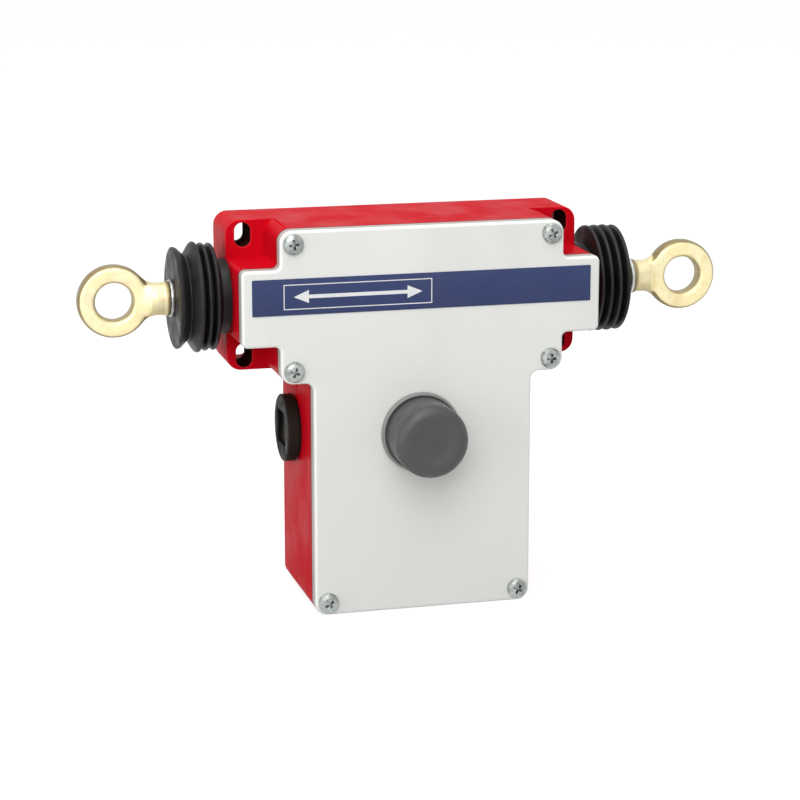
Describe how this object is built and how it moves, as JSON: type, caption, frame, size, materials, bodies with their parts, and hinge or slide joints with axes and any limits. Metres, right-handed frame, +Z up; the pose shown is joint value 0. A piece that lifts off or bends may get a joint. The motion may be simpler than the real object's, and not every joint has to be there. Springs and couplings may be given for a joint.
{
  "type": "rope pull switch",
  "caption": "T-shaped cast housing with a spring-loaded pull rod, rubber bellows and eye at each end, a latch, reset button and pale screwed cover.",
  "frame": {"origin": "middle of the four mounting slots, on the flat back that lies on the wall", "axes": "X along the two ropes, +Y into the wall so that the cover faces -Y, +Z up"},
  "size_m": [0.3327, 0.099, 0.195],
  "materials": {
    "red_paint": "gloss",
    "pale_paint": "satin",
    "blue_film": "satin",
    "black_rubber": "matte",
    "black_plastic": "satin",
    "cap_plastic": "satin",
    "grey_plastic": "satin",
    "yellow_zinc": "passivated",
    "bright_steel": "plated",
    "spring_steel": "oiled",
    "bronze": "satin"
  },
  "bodies": {
    "body": {"housing": "red_paint", "front_cover": "pale_paint", "cover_gasket": "black_rubber", "cover_screws": "bright_steel", "name_band": "blue_film", "left_entry_plug": "black_plastic", "right_entry_plug": "black_plastic", "left_plug_seal": "black_rubber", "right_plug_seal": "black_rubber", "left_guide_bush": "bronze", "right_guide_bush": "bronze", "left_boot_ring": "black_plastic", "right_boot_ring": "black_plastic", "left_boot": "black_rubber", "right_boot": "black_rubber", "left_rod_spring": "spring_steel", "right_rod_spring": "spring_steel", "left_contact_block": "grey_plastic", "right_contact_block": "grey_plastic", "block_screws": "bright_steel", "terminal_screws": "bright_steel", "mechanism_bracket": "bright_steel", "bracket_screws": "bright_steel", "latch_pin": "bright_steel", "pin_clips": "spring_steel", "button_bezel": "grey_plastic", "bezel_seal": "black_rubber", "bezel_nut": "bright_steel", "button_spring": "spring_steel", "earth_screw": "bright_steel", "earth_clamp": "bronze"},
    "left_pull": {"left_pull_rod": "yellow_zinc", "left_eye_washer": "bright_steel", "left_spring_plate": "bright_steel", "left_adjusting_nut": "bright_steel", "left_cam": "bright_steel"},
    "right_pull": {"right_pull_rod": "yellow_zinc", "right_eye_washer": "bright_steel", "right_spring_plate": "bright_steel", "right_adjusting_nut": "bright_steel", "right_cam": "bright_steel"},
    "left_eye": {"left_eye_bolt": "yellow_zinc"},
    "right_eye": {"right_eye_bolt": "yellow_zinc"},
    "left_contact": {"left_plunger": "black_plastic"},
    "right_contact": {"right_plunger": "black_plastic"},
    "reset_button": {"button_cap": "cap_plastic", "button_stem": "bright_steel", "stem_clip": "spring_steel"},
    "latch": {"latch_lever": "bright_steel"}
  },
  "joints": [
    {"name": "left_pull_slide", "type": "slide", "parent": "body", "child": "left_pull", "axis": [-1, 0, 0], "range_m": [-0.002, 0.012], "stiffness_N_per_m": 6000, "deforming": ["left_rod_spring", "left_boot"]},
    {"name": "right_pull_slide", "type": "slide", "parent": "body", "child": "right_pull", "axis": [1, 0, 0], "range_m": [-0.002, 0.012], "stiffness_N_per_m": 6000, "deforming": ["right_rod_spring", "right_boot"]},
    {"name": "left_eye_swivel", "type": "hinge", "parent": "left_pull", "child": "left_eye", "pos_m": [-0.118, -0.0305, 0], "axis": [-1, 0, 0], "range_deg": [-90, 90]},
    {"name": "right_eye_swivel", "type": "hinge", "parent": "right_pull", "child": "right_eye", "pos_m": [0.1205, -0.0305, 0], "axis": [1, 0, 0], "range_deg": [-90, 90]},
    {"name": "left_contact_slide", "type": "slide", "parent": "body", "child": "left_contact", "axis": [0, 0, -1], "range_m": [-0.0005, 0.0025]},
    {"name": "right_contact_slide", "type": "slide", "parent": "body", "child": "right_contact", "axis": [0, 0, -1], "range_m": [-0.0005, 0.0025]},
    {"name": "reset_press", "type": "slide", "parent": "body", "child": "reset_button", "axis": [0, 1, 0], "range_m": [0, 0.003], "stiffness_N_per_m": 800, "springref_m": -0.003, "deforming": ["button_spring"]},
    {"name": "latch_swing", "type": "hinge", "parent": "body", "child": "latch", "pos_m": [0, -0.051, -0.04], "axis": [1, 0, 0], "range_deg": [0, 7]}
  ],
  "couplings": [
    {"joint": "left_contact_slide", "follows": "left_pull_slide", "ratio": 0.2},
    {"joint": "right_contact_slide", "follows": "right_pull_slide", "ratio": 0.2},
    {"joint": "latch_swing", "follows": "reset_press", "rad_per_m": 39.68}
  ]
}
